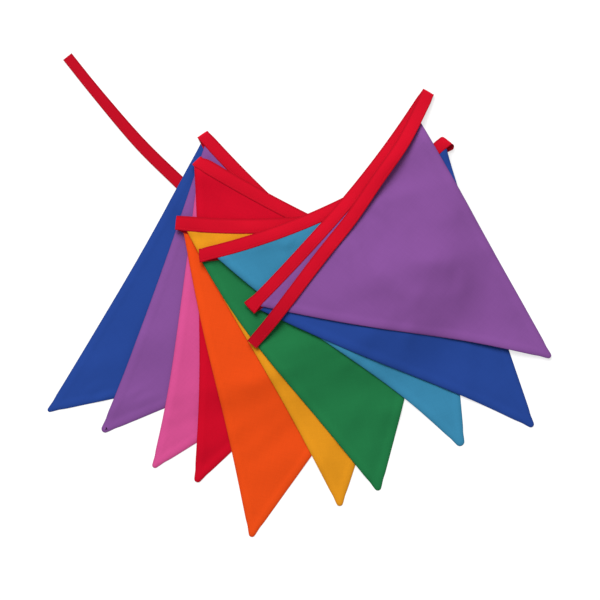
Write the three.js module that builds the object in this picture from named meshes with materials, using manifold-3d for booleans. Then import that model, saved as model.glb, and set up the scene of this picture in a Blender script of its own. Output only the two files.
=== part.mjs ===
// Fabric bunting: ten double-sided cotton flags on one folded binding tape with a tie at each
// end. The tape is folded back and forth between the flags, and the string lies as an open fan.
// Units are millimetres, +Z is up, and the string lies on the plane z = 0.
import * as THREE from 'three';
import { mergeVertices } from 'three/addons/utils/BufferGeometryUtils.js';
import Module from 'manifold-3d';

// Thicknesses and widths of the cloth, and the gap between neighbouring pieces
const FLAG_THICK = 1.0;
const TAPE_THICK = 1.4;
const TAPE_WIDE = 12.4;
const TIE_WIDE = 9.6;
const TIP_WIDE = 5.5;
const GAP = 0.3;

// The net on which each layer of cloth settles over the layers below it
const NET_STEP = 18;
const NET_CELLS = 26;
const CURL = 0.014;
const ROUNDS = 400;
const RISE_SPREAD = 22;

// The wall that closes each fold of the tape, just inside its crest
const WALL_THICK = 1.4;
const WALL_INSET = 0.1;
const WALL_MARGIN = 0.7;
const WALL_SINK = 0.2;

// Sections of a curved outline, and the heights between which an outline is extruded
const TAPE_SECTIONS = 6;
const TIE_SECTIONS = 9;
const EDGE_SECTIONS = 3;
const PRISM_LOW = -5;
const PRISM_HIGH = 60;
const SAME_POINT = 1e-5;

const COTTON_ROUGHNESS = 0.85;
const BINDING_RED = 0xd8102a;
const ROYAL_BLUE = 0x264698;
const PURPLE = 0x844e98;
const PINK = 0xd85094;
const FLAG_RED = 0xcd0e26;
const ORANGE = 0xec4e14;
const YELLOW = 0xe49c1a;
const GREEN = 0x247f47;
const SKY_BLUE = 0x3a8cba;

// Rows of numbers as objects with named columns
function table(columns, rows) {
  return rows.map((row) => Object.fromEntries(columns.map((column, i) => [column, row[i]])));
}

// Crests of the tape's folds, in the order in which the tape runs: at the right of the fan, then
// at its left, and so on. x and y are the crest's middle, skew turns the crest in degrees from
// square, and rise is how far the upper side of the loop stands up.
const FOLDS = table(['x', 'y', 'skew', 'rise'], [
  [53.7, -51.0, 0, 0.5],
  [-86.6, 142.8, -4, 0.8],
  [98.0, -19.1, 0, 0.5],
  [-91.7, 119.4, -11, 0.8],
  [127.2, 12.7, 0, 0.5],
  [-110.0, 64.2, 5, 1.0],
  [136.9, 86.2, 0, 0.5],
  [-89.1, 35.1, -7, 1.0],
  [131.2, 133.5, 0, 4.5],
  [-45.2, -11.4, 3, 1.0],
  [113.5, 180.2, 0, 1.2],
]);

// Flags from the lowest to the highest, each measured along the line between its two folds.
// start is where the flag begins, width its sewn edge, reach the tip's distance from that line,
// lean the tip's shift to the right, bow how far the tape curves towards the tip, sway how far
// the left half of that curve is stronger, and left and right how far the long edges bulge.
const FLAG_COLUMNS = [
  'name', 'colour', 'start', 'width', 'reach', 'lean', 'bow', 'sway', 'left', 'right',
];
const FLAGS = table(FLAG_COLUMNS, [
  ['01_blue', ROYAL_BLUE, 6.2, 224.5, 254.5, 0, 4.4, 0, -1.5, 0],
  ['02_purple', PURPLE, 8.7, 223, 256.2, -13, 7, 0, -1.8, 0],
  ['03_pink', PINK, 6.9, 219, 242, 13, 5.3, 0, -1.5, 0],
  ['04_red', FLAG_RED, 1, 223, 255.9, 12, 5.3, 0, -3.3, 0],
  ['05_orange', ORANGE, 8.6, 224.5, 257.5, 3.3, 7, 0, 1.5, 0],
  ['06_yellow', YELLOW, 9, 224, 262.5, 1.3, 10, 0, -1.5, 0],
  ['07_green', GREEN, 1.2, 224, 237.6, -4.6, 6, 0, 7, 0.8],
  ['08_sky', SKY_BLUE, 13.8, 219, 248.1, 20.2, 11.5, 0, -0.5, -1.5],
  ['09_blue', ROYAL_BLUE, 6.3, 215.5, 240.3, 13.5, 5, 0, 1, -1.5],
  ['10_purple', PURPLE, 8, 216.5, 232.9, 20.6, 7.6, -1.9, 0.8, -1.5],
]);

// The middle line of each tie, from its fold to its loose end
const FIRST_TIE = table(['x', 'y'], [
  [-0.3, -2.3],
  [-56.9, 52.6],
  [-107.4, 100.4],
  [-142.8, 135.3],
  [-179.6, 178.3],
  [-206.1, 211.3],
]);
const LAST_TIE = table(['x', 'y'], [
  [109.0, 167.6],
  [90.0, 134.9],
  [65.2, 100.4],
  [44.9, 66.7],
  [18.1, 31.3],
  [-21.4, -20.0],
  [-42.0, -43.8],
]);

const wasm = await Module();
wasm.setup();

const pointOf = ({ x, y }) => new THREE.Vector2(x, y);
const quarterTurn = (v) => new THREE.Vector2(v.y, -v.x);
const step = (from, along, distance) => from.clone().addScaledVector(along, distance);

// A closed three.js geometry as a solid that can be cut and joined
function solidOf(geometry) {
  geometry.deleteAttribute('normal');
  geometry.deleteAttribute('uv');
  const merged = mergeVertices(geometry, SAME_POINT);
  const vertProperties = merged.attributes.position.array;
  const triVerts = new Uint32Array(merged.index.array);
  return new wasm.Manifold(new wasm.Mesh({ numProp: 3, vertProperties, triVerts }));
}

function geometryOf(solid) {
  const { vertProperties, triVerts } = solid.getMesh();
  const geometry = new THREE.BufferGeometry();
  geometry.setAttribute('position', new THREE.BufferAttribute(vertProperties, 3));
  geometry.setIndex(new THREE.BufferAttribute(triVerts, 1));
  geometry.computeVertexNormals();
  return geometry;
}

// An upright prism over an outline in the plane
function prism(outline) {
  const depth = PRISM_HIGH - PRISM_LOW;
  const geometry = new THREE.ExtrudeGeometry(new THREE.Shape(outline), { depth, bevelEnabled: false });
  geometry.translate(0, 0, PRISM_LOW);
  return solidOf(geometry);
}

// The net: a square grid of knots, each cell split into two triangles
const NET_SIDE = NET_CELLS + 1;
const KNOTS = [];
const FACES = [];
for (let row = 0; row < NET_SIDE; row += 1) {
  for (let column = 0; column < NET_SIDE; column += 1) {
    const corner = new THREE.Vector2(column, row).subScalar(NET_CELLS / 2);
    KNOTS.push(corner.multiplyScalar(NET_STEP));
    if (row === NET_CELLS || column === NET_CELLS) continue;
    const knot = row * NET_SIDE + column;
    FACES.push([knot, knot + 1, knot + NET_SIDE + 1]);
    FACES.push([knot, knot + NET_SIDE + 1, knot + NET_SIDE]);
  }
}

const turn = (p, a, b) => (b.x - a.x) * (p.y - a.y) - (b.y - a.y) * (p.x - a.x);

function cross(a, b, c, d) {
  return turn(a, c, d) * turn(b, c, d) <= 0 && turn(c, a, b) * turn(d, a, b) <= 0;
}

function inside(point, outline) {
  let odd = false;
  outline.forEach((a, i) => {
    const b = outline[(i + 1) % outline.length];
    const level = (a.y > point.y) !== (b.y > point.y);
    if (level && point.x < a.x + ((b.x - a.x) * (point.y - a.y)) / (b.y - a.y)) odd = !odd;
  });
  return odd;
}

// The knots of every net triangle that an outline touches
function knotsUnder(outline) {
  const found = new Set();
  for (const face of FACES) {
    const corners = face.map((knot) => KNOTS[knot]);
    const meets = corners.some((p) => inside(p, outline))
      || outline.some((p) => inside(p, corners))
      || outline.some((p, i) => corners.some((q, j) => (
        cross(p, outline[(i + 1) % outline.length], q, corners[(j + 1) % 3]))));
    if (meets) face.forEach((knot) => found.add(knot));
  }
  return found;
}

// The heights of a cloth that rests on a support and sags between its high places
function settle(support) {
  const heights = Float64Array.from(support);
  const drop = (CURL * NET_STEP * NET_STEP) / 4;
  for (let round = 0; round < ROUNDS; round += 1) {
    for (let row = 1; row < NET_CELLS; row += 1) {
      for (let column = 1; column < NET_CELLS; column += 1) {
        const knot = row * NET_SIDE + column;
        const sum = heights[knot - 1] + heights[knot + 1]
          + heights[knot - NET_SIDE] + heights[knot + NET_SIDE];
        heights[knot] = Math.max(support[knot], sum / 4 - drop);
      }
    }
  }
  return heights;
}

// A closed slab over the whole net, between two sets of heights
function slab(low, high) {
  const positions = [];
  for (const heights of [low, high]) {
    KNOTS.forEach((knot, i) => positions.push(knot.x, knot.y, heights[i]));
  }
  const upper = KNOTS.length;
  const index = [];
  for (const [a, b, c] of FACES) {
    index.push(a, c, b, upper + a, upper + b, upper + c);
  }
  for (let i = 0; i < NET_CELLS; i += 1) {
    const last = NET_CELLS * NET_SIDE;
    const border = [
      [i, i + 1],
      [last + i + 1, last + i],
      [(i + 1) * NET_SIDE, i * NET_SIDE],
      [i * NET_SIDE + NET_CELLS, (i + 1) * NET_SIDE + NET_CELLS],
    ];
    for (const [a, b] of border) index.push(a, b, upper + b, a, upper + b, upper + a);
  }
  const geometry = new THREE.BufferGeometry();
  geometry.setAttribute('position', new THREE.Float32BufferAttribute(positions, 3));
  geometry.setIndex(index);
  return solidOf(geometry);
}

const raised = (heights, by) => heights.map((height) => height + by);

// One stretch of flag tape between two folds, with a straight line's own axes: along from the
// left fold to the right one, and down towards the flag's tip
function stretchOf(flag, order) {
  const ends = [pointOf(FOLDS[order]), pointOf(FOLDS[order + 1])];
  const [left, right] = order % 2 === 0 ? [ends[1], ends[0]] : ends;
  const length = left.distanceTo(right);
  const along = right.clone().sub(left).divideScalar(length);
  const down = quarterTurn(along);
  const middle = (distance) => {
    const share = distance / length;
    const depth = flag.bow * 4 * share * (1 - share) + flag.sway * Math.sin(2 * Math.PI * share);
    return step(step(left, along, distance), down, depth);
  };
  const places = Array.from({ length: TAPE_SECTIONS + 1 }, (_, i) => (length * i) / TAPE_SECTIONS);
  const line = places.map(middle);
  return { ...flag, order, along, down, places, middle, line };
}

// The direction of a fold's crest: square to the mean of its two stretches, turned by its skew
function crestOf(fold, lower, upper) {
  const leaving = (line) => {
    const fromStart = pointOf(fold).distanceTo(line[0]) < SAME_POINT;
    const [end, next] = fromStart ? [line[0], line[1]] : [line.at(-1), line.at(-2)];
    return next.clone().sub(end).normalize();
  };
  const inward = leaving(lower).add(leaving(upper)).normalize();
  return quarterTurn(inward).rotateAround(new THREE.Vector2(), THREE.MathUtils.degToRad(fold.skew));
}

// The outline of a strip along a line, with its ends cut along the given crests
function stripOutline(line, widths, crests) {
  const upper = [];
  const lower = [];
  line.forEach((point, i) => {
    const before = line[Math.max(i - 1, 0)];
    const after = line[Math.min(i + 1, line.length - 1)];
    const down = quarterTurn(after.clone().sub(before).normalize());
    const crest = i === 0 ? crests[0] : (i === line.length - 1 ? crests[1] : null);
    const cut = crest ?? down;
    const reach = widths[i] / 2 / cut.dot(down);
    upper.push(step(point, cut, -reach));
    lower.push(step(point, cut, reach));
  });
  return [...upper, ...lower.reverse()];
}

// A flag's outline: its sewn edge along the tape, two bulging long edges and a blunt tip
function flagOutline({ start, width, reach, lean, left, right, along, down, places, middle }) {
  const seam = TAPE_WIDE / 2 + GAP;
  const inner = places.filter((place) => place > start && place < start + width);
  const lowerEdge = (place) => {
    const next = places.findIndex((at) => at >= place);
    const [a, b] = [places[next - 1], places[next]];
    return middle(a).lerp(middle(b), (place - a) / (b - a));
  };
  const sewn = [start, ...inner, start + width].map((place) => step(lowerEdge(place), down, seam));
  const foot = step(step(middle(0), along, start + width / 2 + lean), down, reach);
  const tips = [step(foot, along, TIP_WIDE / 2), step(foot, along, -TIP_WIDE / 2)];
  const longEdge = (from, to, bulge) => {
    const outward = quarterTurn(from.clone().sub(to).normalize());
    return Array.from({ length: EDGE_SECTIONS - 1 }, (_, i) => {
      const share = (i + 1) / EDGE_SECTIONS;
      return step(from.clone().lerp(to, share), outward, bulge * 4 * share * (1 - share));
    });
  };
  return [
    ...sewn,
    ...longEdge(sewn.at(-1), tips[0], right),
    ...tips,
    ...longEdge(tips[1], sewn[0], left),
  ];
}

// The wall that joins the two sides of a fold, as a thin box along the crest
function wallOutline(fold, crest, lower) {
  const inward = lower.reduce((sum, point) => sum.add(point), new THREE.Vector2())
    .divideScalar(lower.length)
    .sub(pointOf(fold));
  const across = quarterTurn(crest);
  if (across.dot(inward) < 0) across.negate();
  const half = TAPE_WIDE / 2 - WALL_MARGIN;
  const near = step(pointOf(fold), across, WALL_INSET);
  const far = step(near, across, WALL_THICK);
  const side = (place, offset) => step(place, crest, offset);
  return [side(near, -half), side(near, half), side(far, half), side(far, -half)];
}

// A tie's middle line as an even row of points on one smooth curve
function tieLine(fold, points) {
  const knots = [pointOf(fold), ...points.map(pointOf)];
  return new THREE.SplineCurve(knots).getSpacedPoints(TIE_SECTIONS);
}

// All strips of the tape from the lowest to the highest, and the crests between them
const stretches = FLAGS.map(stretchOf);
const lines = [
  tieLine(FOLDS[0], FIRST_TIE),
  ...stretches.map((stretch) => stretch.line),
  tieLine(FOLDS.at(-1), LAST_TIE),
];
const crests = FOLDS.map((fold, i) => crestOf(fold, lines[i], lines[i + 1]));

function stripAt(layer) {
  const line = lines[layer];
  const isTie = layer === 0 || layer === lines.length - 1;
  const widths = line.map((_, i) => (isTie && i > 0 ? TIE_WIDE : TAPE_WIDE));
  const crestNear = (point) => {
    const at = FOLDS.findIndex((fold) => pointOf(fold).distanceTo(point) < SAME_POINT);
    return at < 0 ? null : crests[at];
  };
  const ends = [crestNear(line[0]), crestNear(line.at(-1))];
  const down = quarterTurn(line[1].clone().sub(line[0]));
  const turned = ends.map((crest) => (crest && crest.dot(down) < 0 ? crest.clone().negate() : crest));
  return stripOutline(line, widths, turned);
}

// Each layer settles on the ones below it and is then part of what the next one rests on
const top = new Float64Array(KNOTS.length);
const strips = [];
const flags = [];
lines.forEach((line, layer) => {
  const support = top.map((height) => (height > 0 ? height + GAP : 0));
  const fold = FOLDS[layer - 1];
  if (fold) {
    KNOTS.forEach((knot, i) => {
      const distance = knot.distanceTo(pointOf(fold)) / RISE_SPREAD;
      support[i] += support[i] > 0 ? fold.rise * Math.exp(-distance * distance) : 0;
    });
  }
  const heights = settle(support);
  const cover = (outline, thick) => {
    for (const knot of knotsUnder(outline)) top[knot] = Math.max(top[knot], heights[knot] + thick);
    return slab(heights, raised(heights, thick)).intersect(prism(outline));
  };
  strips.push({ heights, solid: cover(stripAt(layer), TAPE_THICK) });
  const stretch = stretches[layer - 1];
  if (stretch) flags.push({ ...stretch, solid: cover(flagOutline(stretch), FLAG_THICK) });
});

// The tape in one piece: every strip, joined at each fold by its wall
let tape = strips[0].solid;
FOLDS.forEach((fold, i) => {
  const low = raised(strips[i].heights, WALL_SINK);
  const high = raised(strips[i + 1].heights, TAPE_THICK - WALL_SINK);
  const wall = slab(low, high).intersect(prism(wallOutline(fold, crests[i], lines[i])));
  tape = tape.add(wall).add(strips[i + 1].solid);
});

function clothMesh(name, solid, color) {
  const material = new THREE.MeshStandardMaterial({ color, roughness: COTTON_ROUGHNESS, metalness: 0 });
  const mesh = new THREE.Mesh(geometryOf(solid), material);
  mesh.name = name;
  return mesh;
}

const bunting = new THREE.Group();
bunting.add(clothMesh('binding_tape', tape, BINDING_RED));
for (const flag of flags) bunting.add(clothMesh(`flag_${flag.name}`, flag.solid, flag.colour));

// The origin is the middle of the whole string's footprint
const middle = new THREE.Box3().setFromObject(bunting).getCenter(new THREE.Vector3());
bunting.position.set(-middle.x, -middle.y, 0);

export default bunting;
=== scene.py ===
# %% [markdown]
# # A fabric bunting, folded back and forth and laid out as a fan
# The real thing is simple sewing. Ten triangles of plain cotton are each made of two layers,
# sewn right sides together, turned out and pressed. Their open tops are tucked into one long
# red binding, which is folded over them and stitched shut, and it runs on past the first and
# the last flag as a tie. Here the string has been folded like a concertina and put down.
#
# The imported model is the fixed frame: it says where each flag and the binding lie. Every piece
# below stands for one of its nodes, at the same place and the same size, in metres.

# %% Load the frame
import math

import bpy
import numpy as np
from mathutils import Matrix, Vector
from mathutils.geometry import delaunay_2d_cdt


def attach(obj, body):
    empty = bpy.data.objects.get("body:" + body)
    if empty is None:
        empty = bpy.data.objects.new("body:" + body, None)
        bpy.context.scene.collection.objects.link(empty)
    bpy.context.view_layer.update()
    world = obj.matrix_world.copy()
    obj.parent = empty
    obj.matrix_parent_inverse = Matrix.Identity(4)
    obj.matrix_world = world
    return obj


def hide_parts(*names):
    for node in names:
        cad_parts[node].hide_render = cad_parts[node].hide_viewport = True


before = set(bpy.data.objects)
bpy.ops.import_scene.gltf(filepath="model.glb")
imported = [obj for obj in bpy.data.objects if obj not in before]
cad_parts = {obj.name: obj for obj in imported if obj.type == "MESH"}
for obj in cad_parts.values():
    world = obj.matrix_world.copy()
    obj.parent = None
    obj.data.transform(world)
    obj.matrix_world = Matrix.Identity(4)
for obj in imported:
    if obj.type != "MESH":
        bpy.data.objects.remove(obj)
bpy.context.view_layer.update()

MM = 0.001
BODY = "root"
bpy.ops.object.select_all(action="DESELECT")
print("nodes:", ", ".join(sorted(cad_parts)))

# %% [markdown]
# ## Camera
# The string is seen from straight above. A long lens from high up keeps the raised parts of the
# pile from growing towards the edges of the picture. The lens follows from the width of table
# that the frame takes in.

# %% Camera
CAMERA_HIGH = 3.0
FRAME_WIDE = 0.531
AIM = (0.00056, -0.00404)

bpy.ops.object.camera_add(location=(*AIM, CAMERA_HIGH), rotation=(0, 0, 0))
camera = bpy.context.object
camera.name = "camera"
camera.data.lens = camera.data.sensor_width * CAMERA_HIGH / FRAME_WIDE
bpy.context.scene.camera = camera
print(f"lens {camera.data.lens:.0f} mm")

# %% [markdown]
# ## Floor and light
# A pale sheet of card under the string, a wide soft light from beyond the top of the picture,
# and an even white surround that fills the shadows. Cotton shows its folds only by how they
# turn to the light, so the light is broad and comes a little from one side. The card glows by
# itself as well, like a lit table, so it stays white and its shadows stay faint. The standard
# view transform keeps the dyes as strong as they are.

# %% Floor and light
FLOOR_SIDE = 6.0
FLOOR_DROP = 0.0001
FLOOR_WHITE = (0.35, 0.35, 0.35, 1)
FLOOR_SHINE = (1, 1, 1, 1)
FLOOR_ROUGH = 0.9
FLOOR_SPECULAR = 0.1
FLOOR_GLOW = 0.68
SURROUND_WHITE = (1, 1, 1, 1)
SURROUND_STRENGTH = 0.38
WINDOW_SIDE = 1.8
WINDOW_WATTS = 114
WINDOW_AT = Vector((-0.7, 1.8, 2.4))

bpy.ops.mesh.primitive_plane_add(size=FLOOR_SIDE, location=(0, 0, -FLOOR_DROP))
floor = bpy.context.object
floor.name = "floor"
card = bpy.data.materials.new("pale_card")
card.use_nodes = True
card_shader = card.node_tree.nodes["Principled BSDF"]
card_shader.inputs["Base Color"].default_value = FLOOR_WHITE
card_shader.inputs["Roughness"].default_value = FLOOR_ROUGH
card_shader.inputs["Specular IOR Level"].default_value = FLOOR_SPECULAR
card_shader.inputs["Emission Color"].default_value = FLOOR_SHINE
card_shader.inputs["Emission Strength"].default_value = FLOOR_GLOW
floor.data.materials.append(card)

facing = (-WINDOW_AT).to_track_quat("-Z", "Y").to_euler()
bpy.ops.object.light_add(type="AREA", location=WINDOW_AT, rotation=facing)
window = bpy.context.object
window.name = "window"
window.data.shape = "SQUARE"
window.data.size = WINDOW_SIDE
window.data.energy = WINDOW_WATTS

surround = bpy.data.worlds.new("surround")
surround.use_nodes = True
backdrop = surround.node_tree.nodes["Background"]
backdrop.inputs["Color"].default_value = SURROUND_WHITE
backdrop.inputs["Strength"].default_value = SURROUND_STRENGTH
bpy.context.scene.world = surround
bpy.context.scene.view_settings.view_transform = "Standard"
print("light from", [round(v, 2) for v in WINDOW_AT])

# %% [markdown]
# ## How the string is folded
# The binding runs from one fold of the pile to the next, right, left, right. These tables hold
# the places of the folds, the flags along each stretch and the two ties, in millimetres. They
# start from the model of the part and are a little finer. Everything else is worked out from
# them.

# %% The folds, the flags and the ties
ORIGIN_SHIFT = np.array([0.829, 0.029])
TAPE_WIDE = 12.4
TAPE_THICK = 1.4
FLAG_SLOT = 1.0
GAP = 0.3


def table(columns, rows):
    """Rows of numbers as dictionaries with named columns."""
    return [dict(zip(columns.split(), row)) for row in rows]


# The crest of each fold, its turn from square in degrees, its width, how far its loop stands up,
# and how far its lower end slips towards the sewn edge where the loop stands askew
FOLDS = table("x y skew wide rise slip", [
    (53.7, -51.0, 0, 12.4, 0.5, 0),
    (-86.6, 142.8, -4, 11.0, 0.8, 0),
    (98.0, -19.1, 0, 12.4, 0.5, 0),
    (-91.7, 119.4, -11, 10.7, 0.8, 0),
    (127.2, 12.7, 0, 12.4, 0.5, 0),
    (-110.0, 64.2, 5, 12.6, 1.0, 0),
    (136.9, 86.2, 0, 12.4, 0.5, 0),
    (-89.1, 35.1, -7, 12.0, 1.0, 0),
    (131.0, 136.6, 14, 11.3, 4.5, 4.4),
    (-45.2, -11.4, 3, 13.4, 1.0, 0),
    (113.5, 180.2, 0, 11.1, 1.2, 0),
])

# Each stretch of binding between two folds: how far its middle sags below the straight line, how
# much fuller the left half of that curve is, and the binding's width at the left and the right
STRETCH_ROWS = table("sag sway left right", [
    (4.5, 0, 12.4, 12.4),
    (7.5, 0, 11.4, 11.4),
    (5.5, 0, 12.4, 12.4),
    (5.5, 0, 12.4, 12.4),
    (7, 0, 12.4, 12.4),
    (10.5, 1, 13.3, 12.8),
    (6, 0, 12.4, 12.4),
    (11.5, 0.5, 11.7, 11.7),
    (5, 1.5, 12.4, 10.4),
    (7, -0.5, 10.6, 12.2),
])

# Flags from the lowest to the highest. start, width: where the sewn edge begins on the line from
# the left fold to the right fold, and its length. reach, lean: how far the tip is from that
# line, and its shift to the right. tip: the radius of the turned-out corner.
FLAGS = table("name start width reach lean tip", [
    ("01_blue", 6.2, 224.5, 254.5, 0, 2.1),
    ("02_purple", 8.7, 223, 256.2, -13, 3.4),
    ("03_pink", 6.9, 219, 242, 13, 2.6),
    ("04_red", 1, 223, 255.9, 12, 3.2),
    ("05_orange", 8.6, 224.5, 257.5, 3.3, 2.9),
    ("06_yellow", 9, 224, 262.5, 1.3, 3.0),
    ("07_green", 1.2, 224, 237.6, -4.6, 3.1),
    ("08_sky", 13.8, 219, 248.7, 19.2, 4.0),
    ("09_blue", 6.3, 217.7, 242.8, 7.5, 2.9),
    ("10_purple", 8, 216.5, 232.9, 20.6, 2.6),
])

# The long edges of each flag, in the same order: how far the left one bulges at its middle and
# how much fuller its upper half is, then the right one and its lower half
EDGES = table("left left_sway right right_sway", [
    (-2.5, 0, 0, 0),
    (-2.5, 0.5, 0, 0),
    (-3.5, 1, 0, 0),
    (-4.5, 0.5, -0.5, -0.5),
    (0.5, 1, 0, 0),
    (-1, 1, 0, 0),
    (5, 2, 1, 0.5),
    (-1.5, 3, -1, 0),
    (0, 1.5, -1.5, 0),
    (-0.5, 1.5, 0.5, 0),
])

# The middle line of each tie and its width, from its fold to its loose end
FIRST_TIE = table("x y wide", [
    (-0.3, -2.3, 12.4),
    (-56.9, 52.6, 12.0),
    (-107.4, 100.4, 11.4),
    (-142.8, 135.3, 11.0),
    (-179.6, 178.3, 9.9),
    (-206.1, 211.3, 9.6),
])
LAST_TIE = table("x y wide", [
    (107.9, 168.4, 11.8),
    (90.6, 134.6, 11.6),
    (66.4, 99.5, 11.6),
    (44.4, 67.1, 11.6),
    (16.8, 32.3, 11.6),
    (-22.4, -19.2, 11.3),
    (-42.7, -43.3, 10.6),
])
LAST_LAYER = len(FOLDS)
SLIP_TURN = -37.3


def place(row):
    """The point of a table row in the frame, in millimetres."""
    return np.array([row["x"], row["y"]]) + ORIGIN_SHIFT


def unit(vector):
    """A vector, or a row of them, made one long."""
    return vector / np.linalg.norm(vector, axis=-1, keepdims=True)


def quarter_turn(vector):
    """A vector, or a row of them, turned a quarter clockwise as seen from above."""
    return np.stack([vector[..., 1], -vector[..., 0]], axis=-1)


def soft_step(share):
    """A share from 0 to 1 that starts and ends gently."""
    share = np.clip(share, 0, 1)
    return share * share * (3 - 2 * share)


print(len(FLAGS), "flags and", len(FOLDS), "folds")

# %% [markdown]
# ## Curves
# A maker would draw two kinds of line here. The ties are loose, so each is a smooth curve through
# a few points. A sewn edge or a hanging tape is a shallow bow, given by its depth at the middle
# and by how much fuller its first half is.

# %% Smooth curves and shallow bows
CURVE_CUTS = 24


def smooth_curve(knots):
    """A curve that passes through every knot and turns smoothly between them."""
    ends = [2 * knots[0] - knots[1], *knots, 2 * knots[-1] - knots[-2]]
    pieces = []
    for a, b, c, d in zip(ends, ends[1:], ends[2:], ends[3:]):
        t = np.linspace(0, 1, CURVE_CUTS, endpoint=False)[:, None]
        bend = 2 * b + (c - a) * t + (2 * a - 5 * b + 4 * c - d) * t ** 2
        pieces.append((bend + (3 * b - a - 3 * c + d) * t ** 3) / 2)
    return np.concatenate([*pieces, [knots[-1]]])


def even_steps(line, step):
    """A line of points cut again into equal steps of about the given length."""
    travel = travel_along(line)
    cuts = np.linspace(0, travel[-1], max(2, round(travel[-1] / step) + 1))
    columns = [np.interp(cuts, travel, line[:, axis]) for axis in range(line.shape[1])]
    return np.stack(columns, axis=1)


def travel_along(line):
    """How far along the line each of its points is."""
    return np.concatenate([[0], np.cumsum(np.linalg.norm(np.diff(line[:, :3], axis=0), axis=1))])


def bulge(middle, sway, share):
    """A shallow curve: its depth at the middle, and how much fuller its first half is."""
    share = np.clip(share, 0, 1)
    return 4 * middle * share * (1 - share) + sway * np.sin(2 * np.pi * share)


print(f"a bow 4 mm deep is {bulge(4, 0, 0.25):.0f} mm deep at a quarter of its length")

# %% [markdown]
# ## The binding between two folds
# There the binding sags a little towards the flags. A stretch carries its own pair of directions,
# along to the right and down to the tip, so its flag can be drawn as if it hung straight.

# %% The stretches between the folds
END_BLEND = 14.0


def fold_slip(fold, end):
    """Where the lower (-1) or the upper (1) stretch at a fold meets its crest."""
    row = FOLDS[fold]
    turn = math.radians(SLIP_TURN)
    return place(row) - end * row["slip"] / 2 * np.array([math.cos(turn), math.sin(turn)])


class Stretch:
    """The binding between two folds, with a line's own axes: along to the right, down to the tip."""

    def __init__(self, layer):
        row = STRETCH_ROWS[layer - 1]
        self.sag, self.sway = row["sag"], row["sway"]
        self.widths = row["left"], row["right"]
        ends = [fold_slip(layer - 1, 1), fold_slip(layer, -1)]
        folds = [FOLDS[layer - 1]["wide"], FOLDS[layer]["wide"]]
        self.left, self.right = ends if layer % 2 == 0 else ends[::-1]
        self.fold_widths = folds if layer % 2 == 0 else folds[::-1]
        self.span = np.linalg.norm(self.right - self.left)
        self.along = unit(self.right - self.left)
        self.down = quarter_turn(self.along)

    def middle(self, distance, below=0.0):
        """Points of the binding's middle line, or of a line a little below it."""
        distance = np.asarray(distance, float)
        depth = bulge(self.sag, self.sway, distance / self.span) + below
        sideways = np.multiply.outer(distance, self.along)
        return self.left + sideways + np.multiply.outer(depth, self.down)

    def wide(self, distance):
        """The binding's width at a distance from the left fold."""
        distance = np.asarray(distance, float)
        width = np.interp(distance, [0, self.span], self.widths)
        for end, from_end in zip(self.fold_widths, (distance, self.span - distance)):
            width = width + (end - width) * soft_step(1 - from_end / END_BLEND)
        return width

    def offset(self, points):
        """How far below the binding's middle line the points are."""
        away = points - self.left
        distance = away @ self.along
        return ((points - self.middle(distance)) * self.down).sum(-1)


STRETCHES = {layer: Stretch(layer) for layer in range(1, LAST_LAYER)}
print("between the folds:", [round(stretch.span) for stretch in STRETCHES.values()], "mm")

# %% [markdown]
# ## The line of the binding
# The first tie, ten stretches and the last tie follow each other from crest to crest. Each run is
# cut into even steps, and keeps its width at every step.

# %% The line of the binding
RUN_STEP = 4.0


def tie_line(fold, rows):
    """A tie's middle line and width, from its fold to its loose end."""
    crest_row = [*place(FOLDS[fold]), FOLDS[fold]["wide"]]
    knots = np.array([crest_row] + [[*place(row), row["wide"]] for row in rows])
    return even_steps(smooth_curve(knots), RUN_STEP)


def run_line(layer):
    """Middle line and width of one layer of binding, in the order in which the binding runs."""
    if layer == 0:
        return tie_line(0, FIRST_TIE)[::-1]
    if layer == LAST_LAYER:
        return tie_line(LAST_LAYER - 1, LAST_TIE)
    stretch = STRETCHES[layer]
    distance = np.linspace(0, stretch.span, round(stretch.span / RUN_STEP) + 1)
    line = np.column_stack([stretch.middle(distance), stretch.wide(distance)])
    return line if layer % 2 == 0 else line[::-1]


ROWS = [run_line(layer) for layer in range(LAST_LAYER + 1)]
LINES = [row[:, :2] for row in ROWS]
lengths = [travel_along(line)[-1] for line in LINES]
print(f"ties {lengths[0]:.0f} and {lengths[-1]:.0f} mm, whole binding {sum(lengths) / 1000:.2f} m")

# %% [markdown]
# ## The crests of the folds
# Where the binding turns back it makes a small round loop. Seen from above, the loop's crest is
# square to the mean of the two stretches that meet there, or turned a little where the binding
# was put down askew.

# %% The crests of the folds
CREST_REACH = 5


def sewn_side(layer, line):
    """Unit vectors from the middle line towards the sewn edge, one for each point."""
    travel = unit(np.gradient(line, axis=0))
    return quarter_turn(travel) * (1 if layer % 2 == 0 else -1)


def crest(fold):
    """The middle of a fold's crest, its direction towards the sewn edge, and its way out."""
    before, after = LINES[fold], LINES[fold + 1]
    inward = unit(before[-1 - CREST_REACH] - before[-1]) + unit(after[CREST_REACH] - after[0])
    across = quarter_turn(unit(inward))
    skew = math.radians(FOLDS[fold]["skew"])
    turned = np.array([[math.cos(skew), -math.sin(skew)], [math.sin(skew), math.cos(skew)]]) @ across
    if turned @ sewn_side(fold, before)[-1] < 0:
        turned = -turned
    out = quarter_turn(turned)
    return place(FOLDS[fold]), turned, out if out @ inward < 0 else -out


CRESTS = [crest(fold) for fold in range(len(FOLDS))]
print("crests turned", [round(math.degrees(math.atan2(c[1][1], c[1][0]))) for c in CRESTS])

# %% [markdown]
# ## Cut the flags
# Each flag is drawn flat: two long edges with the slight bulge or hollow of a bias-stretched
# seam, and a blunt round tip where the corner was turned out. Its top edge runs up inside the
# binding, as the real one does.

# %% The outline of a flag
TUCK = 8.0
TUCK_CLEAR = 6.0
EDGE_STEP = 2.5
TIP_CUTS = 9
PINCH = 0.35
PINCH_AT = 8.0
PINCH_LONG = 4.0
WAVER = 0.22
WAVER_TURN = 9.5


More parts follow.
